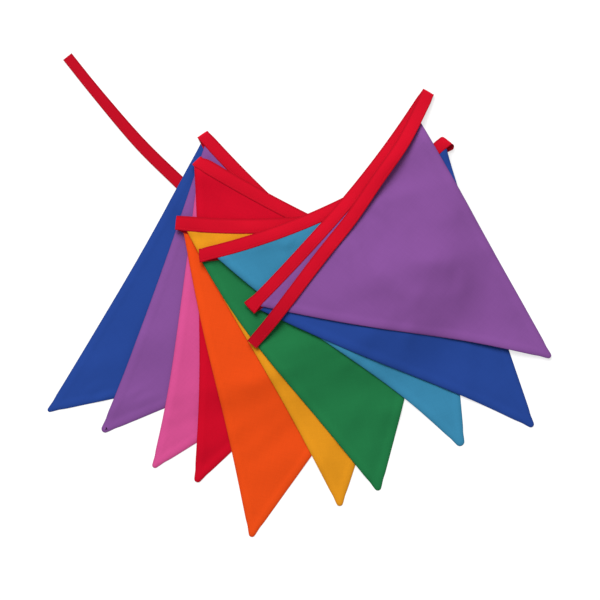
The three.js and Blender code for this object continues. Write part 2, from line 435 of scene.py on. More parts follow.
def long_edge(start, end, curve, phase, tip_first):
    """One long edge as a row of points, bulging to the right of its way."""
    length = np.linalg.norm(end - start)
    share = np.linspace(0, 1, round(length / EDGE_STEP) + 1)
    from_top = 1 - share if tip_first else share
    to_tip = (1 - from_top) * length
    out = bulge(*curve, share) - PINCH * np.exp(-(((to_tip - PINCH_AT) / PINCH_LONG) ** 2))
    out = out + WAVER * np.sin(np.pi * share) * np.sin(WAVER_TURN * from_top + phase)
    side = quarter_turn(unit(end - start))
    return start + np.multiply.outer(share, end - start) + np.multiply.outer(out, side)


def flag_outline(layer):
    """The flag's outline, anticlockwise from its left corner, and the free part of it."""
    stretch, flag = STRETCHES[layer], FLAGS[layer - 1]
    edges = EDGES[layer - 1]
    left_curve = edges["left"], edges["left_sway"]
    right_curve = edges["right"], edges["right_sway"]
    half = TAPE_WIDE / 2
    first, last = flag["start"], flag["start"] + flag["width"]
    corner_left, corner_right = stretch.middle(first, half), stretch.middle(last, half)
    foot = stretch.left + stretch.along * (first + flag["width"] / 2 + flag["lean"])
    foot = foot + stretch.down * flag["reach"]
    centre = foot - unit(foot - (corner_left + corner_right) / 2) * flag["tip"]
    left_out = quarter_turn(unit(centre - corner_left))
    right_out = quarter_turn(unit(corner_right - centre))
    turns = [math.atan2(side[1], side[0]) for side in (left_out, right_out)]
    if turns[1] < turns[0]:
        turns[1] += 2 * math.pi
    sweep = np.linspace(*turns, TIP_CUTS)[1:-1]
    tip = centre + flag["tip"] * np.stack([np.cos(sweep), np.sin(sweep)], axis=1)
    left = long_edge(corner_left, centre + left_out * flag["tip"], left_curve, layer, False)
    right = long_edge(centre + right_out * flag["tip"], corner_right, right_curve, layer + 2, True)
    inner = (max(first, TUCK_CLEAR), min(last, stretch.span - TUCK_CLEAR))
    count = round((inner[1] - inner[0]) / EDGE_STEP)
    tucked = stretch.middle(np.linspace(*inner, count)[::-1], half - TUCK)
    free = np.concatenate([left, tip, right])
    return np.concatenate([free, tucked]), free


OUTLINES = {layer: flag_outline(layer) for layer in STRETCHES}


def area_of(outline):
    """The area inside an outline."""
    x, y = outline.T
    return 0.5 * float(np.sum(x * np.roll(y, -1) - np.roll(x, -1) * y))


print("flag areas in square metres:", [round(area_of(o[0]) * MM * MM, 4) for o in OUTLINES.values()])

# %% [markdown]
# ## Let the cloth settle
# Nothing in a pile like this stands on its own: each layer lies on the layers below it, bridges
# the hollows between them and falls away at the edges. Cloth simulation could find that for two
# or three sheets, but with twelve layers a millimetre apart they would soon cut through each
# other. So each layer is a net of heights over the table. It is pulled down, its knots are
# smoothed against their neighbours, and none may sink below the layers that already lie there.
# Because every layer is read from its net with the same smooth weights, no two can ever cross.

# %% The net of heights
NET_STEP = 6.0
NET_HALF_X, NET_HALF_Y = 252.0, 246.0
CURL = 0.014
OVER = 1.75
ROUNDS = 160
NET_CLEAR = 2.0 * NET_STEP
RISE_SPREAD = 22.0

NET_X = np.arange(-NET_HALF_X, NET_HALF_X + 1, NET_STEP)
NET_Y = np.arange(-NET_HALF_Y, NET_HALF_Y + 1, NET_STEP)
KNOTS = np.stack(np.meshgrid(NET_X, NET_Y), axis=-1)
INNER = np.zeros(KNOTS.shape[:2], bool)
INNER[1:-1, 1:-1] = True
CHECKER = (np.add.outer(np.arange(len(NET_Y)), np.arange(len(NET_X))) % 2).astype(bool)


def settle(support):
    """The heights of a sheet that rests on the support and sags between its high places."""
    heights = support.copy()
    pull = CURL * NET_STEP ** 2 / 4
    for _ in range(ROUNDS):
        for half in (CHECKER & INNER, ~CHECKER & INNER):
            mean = (np.roll(heights, 1, 0) + np.roll(heights, -1, 0)
                    + np.roll(heights, 1, 1) + np.roll(heights, -1, 1)) / 4
            moved = np.maximum(support, heights + OVER * (mean - pull - heights))
            heights[half] = moved[half]
    return heights


def read_net(heights, points):
    """Heights at any points of the table, with smooth weights over the sixteen nearest knots."""
    place_x = (points[..., 0] + NET_HALF_X) / NET_STEP
    place_y = (points[..., 1] + NET_HALF_Y) / NET_STEP
    column, row = np.floor(place_x).astype(int), np.floor(place_y).astype(int)
    weights = []
    for f in (place_x - column, place_y - row):
        weights.append(((1 - f) ** 3 / 6, (3 * f ** 3 - 6 * f ** 2 + 4) / 6,
                        (-3 * f ** 3 + 3 * f ** 2 + 3 * f + 1) / 6, f ** 3 / 6))
    total = np.zeros(points.shape[:-1])
    for i in range(4):
        for j in range(4):
            total += weights[0][i] * weights[1][j] * heights[row + j - 1, column + i - 1]
    return total


def distance_to(points, line, closed=False):
    """The distance from each point to a line of points."""
    ends = np.roll(line, -1, axis=0) if closed else line[1:]
    starts = line if closed else line[:-1]
    best = np.full(points.shape[:-1], np.inf)
    for a, b in zip(starts, ends):
        reach = b - a
        share = np.clip(((points - a) @ reach) / max(reach @ reach, 1e-12), 0, 1)
        best = np.minimum(best, np.linalg.norm(points - a - share[..., None] * reach, axis=-1))
    return best


def inside(points, outline):
    """Which points lie inside an outline."""
    odd = np.zeros(points.shape[:-1], bool)
    for a, b in zip(outline, np.roll(outline, -1, axis=0)):
        level = (a[1] > points[..., 1]) != (b[1] > points[..., 1])
        rise = b[1] - a[1] if abs(b[1] - a[1]) > 1e-12 else 1e-12
        cut = a[0] + (b[0] - a[0]) * (points[..., 1] - a[1]) / rise
        odd ^= level & (points[..., 0] < cut)
    return odd


print("net of", KNOTS.shape[0] * KNOTS.shape[1], "knots")

# %% [markdown]
# ## Soft folds
# Real flags are never quite flat. Each row is one long soft swelling of the cloth, laid where
# the light on the real flags shows one: the layer it is on, its middle, its direction, how long
# and how wide it is, and how high it stands. It is added to the layer's own net, so whatever
# lies on top rides over it. The last tie has two rows too. One is the arch in which it stands
# off the flag near its fold, so its shadow is soft there, and the other lifts its loose end.

# %% Soft folds
SWELLINGS = table("layer x y turn long wide high", [
    (1, -175, -60, 20, 26, 12, 1.3),
    (2, -138, -40, 15, 30, 20, 2.6),
    (3, -107, -62, 84, 45, 7, 1.4),
    (3, -115, -95, 85, 40, 7, 1.2),
    (3, -105, -122, 20, 20, 12, 1.2),
    (4, -78, 106, -22, 24, 11, 3.2),
    (4, -90, -120, 88, 50, 12, 0.9),
    (5, -46, -84, 25, 26, 14, 1.8),
    (5, -20, -148, 20, 30, 13, 1.4),
    (6, -80, 42, 8, 26, 9, 2.2),
    (6, 25, -150, 20, 25, 12, 1.2),
    (7, -3, -46, 20, 22, 10, 2.2),
    (7, 75, -104, -15, 26, 12, 2.4),
    (8, -25, 49, 21, 40, 10, 1.8),
    (8, -55, 19, -40, 26, 8, 3.8),
    (8, 122, -104, -25, 22, 10, 1.2),
    (8, 134, 130, -37, 9, 9, 2.4),
    (9, 150, -82, -15, 40, 12, 1.4),
    (10, 88, 20, 16, 75, 16, 2.6),
    (10, 104, 46, 12, 52, 32, 4.8),
    (10, 130, 35, 10, 24, 14, 0.6),
    (10, 192, -54, -8, 42, 18, 4.2),
    (10, 69, 118, 56, 45, 19, 3.0),
    (11, 78, 116, 56, 42, 22, 6.0),
    (11, -41, -30, 50, 22, 9, 1.8),
])
# Short creases, too narrow for the nets. They are pressed into the finished flag, and lie where
# nothing covers it.
CREASES = table("layer x y turn long wide high", [
    (1, -182, -82, 35, 10, 3.0, 0.6),
    (1, -176, -92, 25, 9, 3.0, 0.6),
    (2, -146, -86, 30, 10, 3.0, 0.7),
    (2, -138, -92, 20, 10, 3.0, 0.7),
    (7, 61, -122, -80, 16, 3.0, 0.7),
    (8, -15, 45, -25, 5, 3.0, 0.9),
    (8, -10, 47, 65, 5, 3.0, 0.9),
    (10, 41, 25, -70, 9, 3.4, 0.9),
    (10, 52, 38, -65, 10, 3.6, 0.9),
    (10, 73, 72, -60, 10, 3.8, 1.0),
    (10, 64, 62, -55, 8, 3.4, 0.8),
])
TREMBLE = 0.5
TREMBLE_LONG = 46.0
TREMBLE_TURN = 0.9
TREMBLE_RATES = (2.1, 1.6)


def swelling(row, points):
    """The height of one swelling at the points, in millimetres."""
    turn = math.radians(row["turn"])
    away = points - place(row)
    lengthwise = away @ np.array([math.cos(turn), math.sin(turn)])
    crosswise = away @ np.array([-math.sin(turn), math.cos(turn)])
    return row["high"] * np.exp(-((lengthwise / row["long"]) ** 2) - (crosswise / row["wide"]) ** 2)


def tremble(layer, points):
    """A slow unevenness that differs from layer to layer."""
    turn = TREMBLE_TURN * layer
    x = points @ np.array([math.cos(turn), math.sin(turn)]) / TREMBLE_LONG
    y = points @ np.array([-math.sin(turn), math.cos(turn)]) / TREMBLE_LONG
    along_rate, across_rate = TREMBLE_RATES
    return TREMBLE * (1 + np.sin(x * along_rate + layer) * np.sin(y * across_rate + 2 * layer))


print(len(SWELLINGS), "swellings")

# %% [markdown]
# ## Stack the layers
# Every layer is settled in turn over the ones that already lie there, from the first tie to the
# last. What it covers, with its thickness, becomes part of the support of the next one. Near a
# fold the layer is lifted a little, as the loop of the binding holds it up.

# %% Settle the layers in turn
SETTLED = 2.0

top = np.zeros(KNOTS.shape[:2])
NETS = []
for layer, line in enumerate(LINES):
    support = np.where(top > 0, top + GAP, 0)
    if layer > 0:
        near_fold = np.linalg.norm(KNOTS - place(FOLDS[layer - 1]), axis=-1) / RISE_SPREAD
        support = support + (top > 0) * FOLDS[layer - 1]["rise"] * np.exp(-near_fold ** 2)
    heights = settle(support)
    if layer in STRETCHES:
        heights = heights + tremble(layer, KNOTS) * soft_step(heights / SETTLED)
    heights = heights + sum(swelling(row, KNOTS) for row in SWELLINGS if row["layer"] == layer)
    heights = np.maximum(heights, support)
    NETS.append(heights)
    under = distance_to(KNOTS, line) < TAPE_WIDE / 2 + NET_CLEAR
    top = np.where(under, np.maximum(top, heights + TAPE_THICK), top)
    if layer in OUTLINES:
        outline = OUTLINES[layer][0]
        under = inside(KNOTS, outline) | (distance_to(KNOTS, outline, True) < NET_CLEAR)
        top = np.where(under, np.maximum(top, heights + FLAG_SLOT), top)
print(f"the pile is {top.max():.1f} mm high at most")

# %% [markdown]
# ## A flag laid flat
# A flag begins as a flat mesh of small triangles, finer near its edges. Rings of points follow
# the outline, so the rim can be rounded evenly, and an even grid fills the rest.

# %% The mesh of a flag
MESH_STEP = 3.2
RINGS = (0.45, 1.0, 1.9, 3.2, 4.8, 6.2, 7.8, 9.8)
RING_SHARE = 0.97


def flat_mesh(layer):
    """Points and triangles of the flat flag, with rings of points along its edge."""
    outline = OUTLINES[layer][0]
    stretch = STRETCHES[layer]
    inward = -quarter_turn(unit(np.roll(outline, -1, axis=0) - np.roll(outline, 1, axis=0)))
    points = [outline]
    for ring in RINGS:
        moved = outline + inward * ring
        kept = inside(moved, outline) & (distance_to(moved, outline, True) > ring * RING_SHARE)
        points.append(moved[kept])
    reach = np.arange(-stretch.span, 2 * stretch.span, MESH_STEP)
    rows = np.arange(-20, FLAGS[layer - 1]["reach"] + 20, MESH_STEP * math.sqrt(3) / 2)
    grid = []
    for i, row in enumerate(rows):
        across = reach + (i % 2) * MESH_STEP / 2
        grid.append(stretch.left + np.multiply.outer(across, stretch.along) + stretch.down * row)
    grid = np.concatenate(grid)
    grid = grid[inside(grid, outline)]
    deep = distance_to(grid, outline, True) > RINGS[-1] + MESH_STEP / 2
    points = np.concatenate([*points, grid[deep]])
    count = len(outline)
    border = [(i, (i + 1) % count) for i in range(count)]
    made = delaunay_2d_cdt([Vector(p) for p in points], border, [], 1, 1e-5)
    return np.array([tuple(v) for v in made[0]]), [tuple(face) for face in made[2]]


print(len(flat_mesh(1)[1]), "triangles in the lowest flag")

# %% [markdown]
# ## How a flag lies and how thick it is
# Its net drapes it, its top rises into the binding, and its seams pucker it a little. Two layers
# of cotton are thin in the field. They are thicker where the seam allowance lies inside the
# edges, and thickest at the tip, where all of it is bunched up. The edges roll down to a thin rim.

# %% Drape and thickness
ALLOWANCE = 7.0
ALLOWANCE_SOFT = 1.6
TIP_BUNCH = 9.0
THICK_TIP = 1.1
THICK_SEAM = 0.98
THICK_FLAT = 0.62
THICK_TUCKED = 0.5
ROLL = 3.2
ROLL_SHARE = 0.72
REST_LIFT = 0.08
TUCK_SOFT = 5.0
PUCKER = 0.14
PUCKER_DEEP = 10.0
PUCKER_ALONG = 6.1
PUCKER_DOWN = 7.3
PUCKER_SHORT = 4.2
TUCK_CLOSE = 0.5
BUNCH_REACH = 1.3
TUCK_FADE = 2.0


def drape(layer, points):
    """Heights of the flag's underside over its net, with its top lifted into the binding."""
    stretch = STRETCHES[layer]
    below = stretch.offset(points)
    inner = soft_step((TAPE_WIDE / 2 + TUCK_SOFT - below) / (TUCK_SOFT - TUCK_CLOSE))
    lift = REST_LIFT + inner * ((TAPE_THICK - THICK_TUCKED) / 2 - REST_LIFT)
    from_edge = distance_to(points, OUTLINES[layer][1])
    along = points @ stretch.along
    down = points @ stretch.down
    ripple = np.sin(along / PUCKER_ALONG + layer) * np.sin(down / PUCKER_DOWN + 2 * layer)
    ripple = ripple + np.sin(down / PUCKER_SHORT - layer)
    pucker = PUCKER * np.exp(-((from_edge / PUCKER_DEEP) ** 2)) * ripple * (1 - inner)
    heights = read_net(NETS[layer], points) + lift + np.maximum(pucker, -REST_LIFT)
    creases = sum(swelling(row, points) for row in CREASES if row["layer"] == layer)
    return heights + creases * (1 - inner)


def thickness(layer, points):
    """The flag's thickness: thin in the field, thicker at its seams, thickest at its tip."""
    stretch = STRETCHES[layer]
    free = OUTLINES[layer][1]
    from_edge = distance_to(points, free)
    seam = soft_step((ALLOWANCE + ALLOWANCE_SOFT - from_edge) / (2 * ALLOWANCE_SOFT))
    foot = free[np.argmax(stretch.offset(free))]
    bunch = soft_step(BUNCH_REACH - np.linalg.norm(points - foot, axis=-1) / TIP_BUNCH)
    tucked = soft_step((TAPE_WIDE / 2 + TUCK_FADE / 2 - stretch.offset(points)) / TUCK_FADE)
    thick = THICK_FLAT + (THICK_SEAM - THICK_FLAT) * seam
    thick = thick + (THICK_TIP - thick) * bunch
    roll = np.clip(1 - from_edge / ROLL, 0, 1)
    thick = thick * (1 - ROLL_SHARE * roll ** 2)
    return thick + (THICK_TUCKED - thick) * tucked, seam


rim = thickness(1, OUTLINES[1][1])[0]
print(f"rim of the lowest flag {rim.min():.2f} to {rim.max():.2f} mm thick")

# %% [markdown]
# ## Sew the flags
# The Solidify modifier turns the draped sheet into its two layers, with the thickness as a vertex
# group, and a small Bevel rounds the turned rim. Seams are noted on the mesh as well, because the
# cloth's colour is a little deeper there, and so is a painted shade along the free edges, which
# stands for the rolled rim turning away from the light.

# %% Sew the flags
ROUND_WIDE = 0.26
ROUND_CUTS = 3
ROUND_ANGLE = 50
# Painted shade along a flag's free edges: how dark it is at the rim, and how fast it fades inwards.
EDGE_SHADE = 0.6
EDGE_SHADE_WIDE = 1.1


def pick(piece):
    """Makes a piece the one that is selected and active."""
    bpy.ops.object.select_all(action="DESELECT")
    piece.select_set(True)
    bpy.context.view_layer.objects.active = piece


def apply_modifiers(piece):
    """Applies all of a piece's modifiers, as the Apply button does."""
    pick(piece)
    for modifier in list(piece.modifiers):
        bpy.ops.object.modifier_apply(modifier=modifier.name)
    bpy.ops.object.shade_smooth()


def add_mesh(name, points, faces, grain):
    """A mesh object from points in millimetres, with the cloth's own grain as its UV map."""
    mesh = bpy.data.meshes.new(name)
    mesh.from_pydata((np.asarray(points) * MM).tolist(), [], faces)
    spread = mesh.uv_layers.new(name="grain")
    corners = np.zeros(len(mesh.loops), np.int32)
    mesh.loops.foreach_get("vertex_index", corners)
    spread.data.foreach_set("uv", (np.asarray(grain)[corners] * MM).ravel())
    piece = bpy.data.objects.new(name, mesh)
    bpy.context.scene.collection.objects.link(piece)
    return piece


def note(piece, name, values):
    """Notes one number for each point on a piece's mesh, for its material to read."""
    attribute = piece.data.attributes.new(name, "FLOAT", "POINT")
    attribute.data.foreach_set("value", values.astype(np.float32))


def sew_flag(layer):
    """One finished flag."""
    stretch, flag = STRETCHES[layer], FLAGS[layer - 1]
    points, faces = flat_mesh(layer)
    heights = drape(layer, points)
    thick, seam = thickness(layer, points)
    away = points - stretch.left
    grain = np.stack([away @ stretch.along, -(away @ stretch.down)], axis=1)
    piece = add_mesh("cloth_" + flag["name"], np.column_stack([points, heights]), faces, grain)
    # A painted shade that darkens the flag along its free edges.
    edge_shade = EDGE_SHADE * np.exp(-distance_to(points, OUTLINES[layer][1]) / EDGE_SHADE_WIDE)
    note(piece, "seam", seam)
    note(piece, "painted_shade", edge_shade)
    group = piece.vertex_groups.new(name="thickness")
    for i, share in enumerate(thick / THICK_TIP):
        group.add([i], float(share), "REPLACE")
    solid = piece.modifiers.new("two layers", "SOLIDIFY")
    solid.thickness = THICK_TIP * MM
    solid.offset = 1
    solid.vertex_group = group.name
    rounding = piece.modifiers.new("turned edge", "BEVEL")
    rounding.width = ROUND_WIDE * MM
    rounding.segments = ROUND_CUTS
    rounding.limit_method = "ANGLE"
    rounding.angle_limit = math.radians(ROUND_ANGLE)
    rounding.use_clamp_overlap = False
    apply_modifiers(piece)
    return piece


FLAG_PIECES = {layer: sew_flag(layer) for layer in STRETCHES}
for piece in FLAG_PIECES.values():
    print(piece.name, len(piece.data.polygons), "faces")

# %% [markdown]
# ## Fold the binding
# The binding is one ribbon, folded lengthwise over the flags, so its section is a narrow U: a
# round fold at the top and two open lips at the bottom, with a groove where the stitches pull
# the lips together. The section is swept along every stretch, and round a half circle at every
# fold of the pile, where the face that was on top turns under.

# %% The section of the binding
LIP = 0.34
LIP_ROUND = 0.1
GROOVE_AT = 1.9
GROOVE_DEEP = 0.13
BELLY = 0.1
BELLY_PLACES = ((-4.0, 1), (-1.8, 1.2), (0, 1), (2.4, 0.5))
GROOVE_PLACES = ((-0.9, 0), (-0.35, 0.8), (0, 1), (0.35, 0.8), (0.9, 0.154))
LIP_DROP = 0.03
LIP_LIFT = 0.01
ARC_CUTS = 5
HALF_THICK = TAPE_THICK / 2
HALF_HOLLOW = HALF_THICK - LIP


def binding_section():
    """The U as a closed ring of points: across from the folded edge, and up from the middle."""
    half = TAPE_WIDE / 2
    upper = []
    for turn in np.linspace(math.pi, math.pi / 2, ARC_CUTS):
        upper.append((-half + HALF_THICK * (1 + math.cos(turn)), HALF_THICK * math.sin(turn)))
    for across, share in BELLY_PLACES:
        upper.append((across, HALF_THICK + BELLY * share))
    for across, share in GROOVE_PLACES:
        upper.append((half - GROOVE_AT + across, HALF_THICK - GROOVE_DEEP * share))
    upper += [(half - LIP_ROUND, HALF_THICK - LIP_DROP), (half, HALF_THICK - LIP_ROUND),
              (half, HALF_HOLLOW + LIP_ROUND), (half - LIP_ROUND, HALF_HOLLOW + LIP_LIFT)]
    upper += [(half / 2, HALF_HOLLOW), (-half / 3, HALF_HOLLOW)]
    for turn in np.linspace(math.pi / 2, math.pi, 3):
        upper.append((-half + HALF_THICK + HALF_HOLLOW * math.cos(turn), HALF_HOLLOW * math.sin(turn)))
    lower = [(across, -up) for across, up in upper[1:-1][::-1]]
    return np.array(upper + lower)


SECTION = binding_section()
print(len(SECTION), "points round the section")

# %% [markdown]
# ## Where the ribbon is cut
# Near a fold the ribbon is cut a little askew, so that its last cut lies square on the crest.
# A loop is as round as the gap between its two runs allows, and each run stops short of it.

# %% Where the ribbon is cut
OBLIQUE = 16.0
LOOP_SPARE = 2.5


def side_up(layer):
    """Whether the ribbon's first face looks up in this layer, as 1 or -1."""
    return 1 if layer % 2 == 0 else -1


def loop_rise(fold, points):
    """The middle height of a loop and its radius, at points near the fold's crest."""
    low, high = read_net(NETS[fold], points), read_net(NETS[fold + 1], points)
    return (low + high) / 2 + HALF_THICK, (high - low) / 2


def loop_depth(fold):
    """How far the loop of a fold reaches back from its crest."""
    middle, _, out = CRESTS[fold]
    return float(loop_rise(fold, (middle - out * HALF_THICK)[None])[1][0]) + HALF_THICK


def stations(layer):
    """Where the ribbon is cut along one layer: middles, directions to the sewn edge, reaches."""
    line = LINES[layer]
    travel = travel_along(line)
    ends = [(layer - 1, travel), (layer, travel[-1] - travel)]
    ends = [(fold, distance) for fold, distance in ends if 0 <= fold < len(FOLDS)]
    square = sewn_side(layer, line)
    side = square.copy()
    for fold, distance in ends:
        share = soft_step(1 - distance / OBLIQUE)[:, None]
        side = unit(side * (1 - share) + CRESTS[fold][1] * share)
    reach = ROWS[layer][:, 2] / TAPE_WIDE
    squareness = (side * square).sum(-1)
    keep = np.ones(len(line), bool)
    for fold, distance in ends:
        oblique = soft_step(1 - distance / OBLIQUE)
        reach = reach * np.where(distance < OBLIQUE, oblique + (1 - oblique) / squareness, 1)
        keep &= distance > loop_depth(fold) + LOOP_SPARE
    return line[keep], side[keep], reach[keep]


cut_count = sum(len(stations(layer)[0]) for layer in range(LAST_LAYER + 1))
print(cut_count, "cuts along the runs")

# %% [markdown]
# ## Sweep the section
# The same sweep serves the binding and its stitches. It takes any section, lays it at every cut
# of a run, turns it over round the loop, and goes on with the next run.

# %% Sweep a section along the pile
LOOP_CUTS = 11


def run_points(layer, section):
    """The section's points at every station of one layer."""
    middles, sides, reaches = stations(layer)
    flat = middles[:, None] + sides[:, None] * (section[None, :, :1] * reaches[:, None, None])
    heights = read_net(NETS[layer], flat) + HALF_THICK + side_up(layer) * section[None, :, 1]
    return np.concatenate([flat, heights[..., None]], axis=-1)


def loop_points(fold, section):
    """The section's points round the loop of one fold."""
    middle, across, out = CRESTS[fold]
    reach = FOLDS[fold]["wide"] / TAPE_WIDE
    crest_line = middle + np.multiply.outer(section[:, 0] * reach, across)
    depth = loop_depth(fold)
    for _ in range(3):
        depths = np.ones(len(section)) * depth
        height, radius = loop_rise(fold, crest_line - np.multiply.outer(depths, out))
        depth = radius + HALF_THICK
    start = crest_line - depth[:, None] * out
    rings = []
    for turn in np.linspace(-math.pi / 2, math.pi / 2, LOOP_CUTS):
        arm = radius - side_up(fold) * section[:, 1]
        slip = -FOLDS[fold]["slip"] / 2 * math.sin(turn) * across
        flat = start + (arm * math.cos(turn))[:, None] * out + slip
        rings.append(np.column_stack([flat, height + arm * math.sin(turn)]))
    return np.array(rings)


def ribbon(section):
    """The section's points along the whole binding, from one loose end to the other."""
    parts = []
    for layer in range(LAST_LAYER + 1):
        parts.append(run_points(layer, section))
        if layer < LAST_LAYER:
            parts.append(loop_points(layer, section))
    return np.concatenate(parts)


print(len(ribbon(SECTION)), "rings in the ribbon")

# %% [markdown]
# ## Make the binding
# The rings of the swept section are joined into one closed mesh, from one loose end to the other.
# Its folded edges and its ties carry a painted shade, which is noted on the mesh for the colour:
# darker at the folded edges, and along the ties towards their loose ends.

# %% Make the binding
SMOOTH_ANGLE = 40
# Painted shade on the binding: along the ties, how far it reaches and how dark it is, then at the
# folded edges.
FIRST_SHADE_REACH = 480.0
LAST_SHADE_REACH = 90.0
FIRST_TIE_SHADE = 0.5
LAST_TIE_SHADE = 0.3
FOLD_EDGE_SHADE = 0.9
FOLD_SHADE_WIDE = 1.7


def fold_binding():
    """The binding as one closed mesh."""
    rings = ribbon(SECTION)
    count, around = rings.shape[:2]
    faces = []
    for i in range(count - 1):
        for j in range(around):
            a, b = i * around + j, i * around + (j + 1) % around
            faces.append((a, b, b + around, a + around))
    faces.append(tuple(range(around))[::-1])
    faces.append(tuple(range((count - 1) * around, count * around)))
    middle = rings.mean(axis=1)
    travel = travel_along(middle)
    grain = np.stack(np.meshgrid(travel_along(SECTION), travel), axis=-1).reshape(-1, 2)
    piece = add_mesh("cloth_binding", rings.reshape(-1, 3), faces, grain)
    # Painted shade: the ties darken towards their loose ends, the folded edges towards the rim.
    first = FIRST_TIE_SHADE * soft_step(1 - travel / FIRST_SHADE_REACH)
    last = LAST_TIE_SHADE * soft_step(1 - (travel[-1] - travel) / LAST_SHADE_REACH)
    edge = FOLD_EDGE_SHADE * soft_step(1 - (TAPE_WIDE / 2 - np.abs(SECTION[:, 0])) / FOLD_SHADE_WIDE)
    note(piece, "painted_shade", np.add.outer(np.maximum(first, last), edge).ravel())
    pick(piece)
    bpy.ops.object.mode_set(mode="EDIT")
    bpy.ops.mesh.select_all(action="SELECT")
    bpy.ops.mesh.normals_make_consistent(inside=False)
    bpy.ops.object.mode_set(mode="OBJECT")
    bpy.ops.object.shade_smooth_by_angle(angle=math.radians(SMOOTH_ANGLE))
    return piece, travel[-1]


binding, binding_long = fold_binding()
print(f"binding {binding_long / 1000:.2f} m long,", len(binding.data.polygons), "faces")

# %% [markdown]
# ## Stitch it
# A machine seam runs along both faces of the binding, just above its open edge. One stitch is
# modelled: a little loop of thread that is round in the middle and dives into the cloth at both
# ends. It is then copied along the groove on both faces, and all the copies are one mesh.

# %% One stitch
STITCH_LONG = 2.3
STITCH_STEP = 2.9
STITCH_WIDE = 0.34
STITCH_HIGH = 0.24
STITCH_SEAT = 0.01

bpy.ops.object.select_all(action="DESELECT")
bpy.ops.mesh.primitive_uv_sphere_add(segments=8, ring_count=6, radius=0.5, rotation=(0, math.pi / 2, 0))
stitch = bpy.context.object
bpy.ops.object.transform_apply(location=True, rotation=True, scale=True)
bpy.ops.object.mode_set(mode="EDIT")
bpy.ops.mesh.select_all(action="SELECT")
bpy.ops.transform.resize(value=(STITCH_LONG, STITCH_WIDE, STITCH_HIGH))
bpy.ops.object.mode_set(mode="OBJECT")
STITCH_POINTS = np.array([tuple(v.co) for v in stitch.data.vertices])
STITCH_FACES = [tuple(face.vertices) for face in stitch.data.polygons]
bpy.data.objects.remove(stitch)
print(len(STITCH_FACES), "faces a stitch")

# %% [markdown]
# ## Copy the stitch
# The groove on each face is followed as a line of points. A stitch is set down every few
# millimetres along it, turned to the line's direction and to the face's way up.

# %% Stitch along the binding
def stitch_row(face):
    """Points of every stitch along one face of the ribbon, 1 or -1."""
    groove = TAPE_WIDE / 2 - GROOVE_AT
    seat = face * (HALF_THICK - GROOVE_DEEP + STITCH_SEAT)
    guide = ribbon(np.array([[groove, seat], [groove, seat + face * 0.5], [groove + 0.5, seat]]))
    travel = travel_along(guide[:, 0])
    cuts = np.arange(STITCH_STEP, travel[-1] - STITCH_STEP, STITCH_STEP)

    def at(which, where):
        return np.stack([np.interp(where, travel, guide[:, which, axis]) for axis in range(3)], axis=1)

    middle = (at(0, cuts - STITCH_LONG / 3) + at(0, cuts + STITCH_LONG / 3)) / 2
    forward = unit(at(0, cuts + STITCH_LONG / 3) - at(0, cuts - STITCH_LONG / 3))
    up = unit(at(1, cuts) - at(0, cuts))
    side = np.cross(up, forward)
    axes = np.stack([forward, side, up], axis=1)
    return middle[:, None] + np.einsum("pk,nkj->npj", STITCH_POINTS, axes)


rows = np.concatenate([stitch_row(1), stitch_row(-1)])
per_stitch = len(STITCH_POINTS)
stitch_faces = []
for i in range(len(rows)):
    for face in STITCH_FACES:
        stitch_faces.append(tuple(v + i * per_stitch for v in face))
stitch_grain = np.tile(STITCH_POINTS[:, :2], (len(rows), 1))
stitching = add_mesh("stitching", rows.reshape(-1, 3), stitch_faces, stitch_grain)
for polygon in stitching.data.polygons:
    polygon.use_smooth = True
print(len(rows), "stitches,", len(stitching.data.polygons), "faces")

# %% [markdown]
# ## Build a material
# Every cloth here is a small tree of shader nodes. A helper adds one node at a time and links it
# to the ones before it, so each material can be read from the top down.

# %% A helper for node trees
class Cloth:
    """A node tree under construction."""

    def __init__(self, name):
        self.material = bpy.data.materials.new(name)
        self.material.use_nodes = True
        self.nodes = self.material.node_tree.nodes
        self.links = self.material.node_tree.links
        self.shader = self.nodes["Principled BSDF"]

    def add(self, kind, inputs=None, **settings):
        """A node with its settings, and its inputs linked or set."""
        node = self.nodes.new(kind)
        for name, value in settings.items():
            setattr(node, name, value)
        for key, value in (inputs or {}).items():
            if isinstance(value, bpy.types.NodeSocket):
                self.links.new(value, node.inputs[key])
            else:
                node.inputs[key].default_value = value
        return node

    def maths(self, operation, first, second=0.0):
        """The result of a Math node."""
        return self.add("ShaderNodeMath", {0: first, 1: second}, operation=operation).outputs[0]


def shade(colour, amount):
    """A colour made darker or lighter by an amount."""
    return (*[min(1.0, channel * amount) for channel in colour], 1)


print("a red a tenth lighter:", shade((0.5, 0, 0), 1.1))

# %% [markdown]
# ## Cotton
# Plain cotton is matt, with a faint bloom of loose fibre that lightens it where it turns away.
# Close up it is a plain weave: threads go over and under each other, some of them a little
# thicker, and the dye takes unevenly. The pattern follows the grain of each flag by its UV map,
# which is in metres, and the binding has it on the diagonal, because it is cut on the bias.
# Edges and tie ends carry a painted shade, so they are a little darker.

# %% Cotton
THREAD = 0.00042
# The painted shade on edges and tie ends multiplies the dye by this grey.
PAINTED_SHADE_TONE = (0.6, 0.6, 0.6, 1)
SHADE_RANGE = (0.86, 1.14)
STREAK_LONG, STREAK_FINE = 45, 900
DYE_PATCH = 32.0
WEAVE_RELIEF = 0.00006


